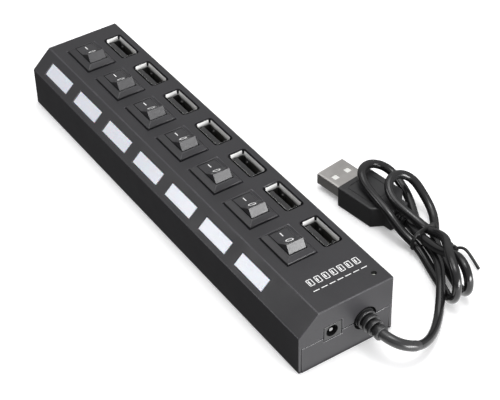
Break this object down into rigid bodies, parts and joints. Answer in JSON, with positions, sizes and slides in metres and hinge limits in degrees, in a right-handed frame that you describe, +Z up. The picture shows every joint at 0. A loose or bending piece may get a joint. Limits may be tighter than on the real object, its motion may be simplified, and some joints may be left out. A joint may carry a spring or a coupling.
{
  "type": "usb hub",
  "caption": "Desktop USB hub: a long bevelled case with a row of upright sockets, a rocker switch and a light window beside each, a power inlet and a captive folded cord with plug.",
  "frame": {"origin": "on the underside, in the middle of the case", "axes": "+Y along the case, away from the end that the cord leaves; +X towards the sockets' side; +Z up"},
  "size_m": [0.0812, 0.1828, 0.0256],
  "materials": {
    "case": "fine-textured charcoal ABS",
    "case_base": "fine-textured charcoal ABS",
    "screw_steel": "zinc-plated screws",
    "board": "green solder mask",
    "nickel": "nickel-plated sheet",
    "socket_plastic": "black moulded resin",
    "contact_gold": "gold-plated contacts",
    "bezel": "satin black moulding",
    "rocker": "satin black moulding with white marks",
    "window": "milky diffusing light window",
    "led": "LED package",
    "chip": "epoxy chip package",
    "capacitor": "sleeved aluminium can",
    "boot": "matt soft PVC",
    "cord": "glossy black PVC jacket",
    "tie": "black twist tie",
    "overmold": "semi-gloss moulded PVC",
    "plug_metal": "satin nickel-plated shell",
    "plug_insulator": "white resin tongue"
  },
  "bodies": {
    "hub": {"top_shell": "case", "base_tray": "case_base", "case_screws": "screw_steel", "main_board": "board", "usb_socket_shell_1": "nickel", "usb_socket_shell_2": "nickel", "usb_socket_shell_3": "nickel", "usb_socket_shell_4": "nickel", "usb_socket_shell_5": "nickel", "usb_socket_shell_6": "nickel", "usb_socket_shell_7": "nickel", "usb_socket_tongue_1": "socket_plastic", "usb_socket_tongue_2": "socket_plastic", "usb_socket_tongue_3": "socket_plastic", "usb_socket_tongue_4": "socket_plastic", "usb_socket_tongue_5": "socket_plastic", "usb_socket_tongue_6": "socket_plastic", "usb_socket_tongue_7": "socket_plastic", "socket_contacts": "contact_gold", "switch_housing_1": "bezel", "switch_housing_2": "bezel", "switch_housing_3": "bezel", "switch_housing_4": "bezel", "switch_housing_5": "bezel", "switch_housing_6": "bezel", "switch_housing_7": "bezel", "switch_terminals": "contact_gold", "light_window_1": "window", "light_window_2": "window", "light_window_3": "window", "light_window_4": "window", "light_window_5": "window", "light_window_6": "window", "light_window_7": "window", "port_leds": "led", "power_led": "led", "hub_chips": "chip", "crystal": "nickel", "capacitors": "capacitor", "dc_jack_body": "socket_plastic", "dc_jack_pin": "nickel", "strain_relief": "boot", "cord_lead": "cord", "cord_hank": "cord", "cord_tie": "tie", "plug_overmold": "overmold", "plug_shell": "plug_metal", "plug_insulator": "plug_insulator", "plug_contacts": "contact_gold"},
    "rocker_1": {"rocker_1": "rocker"},
    "rocker_2": {"rocker_2": "rocker"},
    "rocker_3": {"rocker_3": "rocker"},
    "rocker_4": {"rocker_4": "rocker"},
    "rocker_5": {"rocker_5": "rocker"},
    "rocker_6": {"rocker_6": "rocker"},
    "rocker_7": {"rocker_7": "rocker"}
  },
  "joints": [
    {"name": "rocker_1_tilt", "type": "hinge", "parent": "hub", "child": "rocker_1", "pos_m": [-0.00045, 0.069, 0.021], "axis": [1, 0, 0], "range_deg": [0, 32]},
    {"name": "rocker_2_tilt", "type": "hinge", "parent": "hub", "child": "rocker_2", "pos_m": [-0.00045, 0.0486, 0.021], "axis": [1, 0, 0], "range_deg": [0, 32]},
    {"name": "rocker_3_tilt", "type": "hinge", "parent": "hub", "child": "rocker_3", "pos_m": [-0.00045, 0.0282, 0.021], "axis": [1, 0, 0], "range_deg": [0, 32]},
    {"name": "rocker_4_tilt", "type": "hinge", "parent": "hub", "child": "rocker_4", "pos_m": [-0.00045, 0.0078, 0.021], "axis": [1, 0, 0], "range_deg": [0, 32]},
    {"name": "rocker_5_tilt", "type": "hinge", "parent": "hub", "child": "rocker_5", "pos_m": [-0.00045, -0.0126, 0.021], "axis": [1, 0, 0], "range_deg": [0, 32]},
    {"name": "rocker_6_tilt", "type": "hinge", "parent": "hub", "child": "rocker_6", "pos_m": [-0.00045, -0.033, 0.021], "axis": [1, 0, 0], "range_deg": [0, 32]},
    {"name": "rocker_7_tilt", "type": "hinge", "parent": "hub", "child": "rocker_7", "pos_m": [-0.00045, -0.0534, 0.021], "axis": [1, 0, 0], "range_deg": [0, 32]}
  ]
}
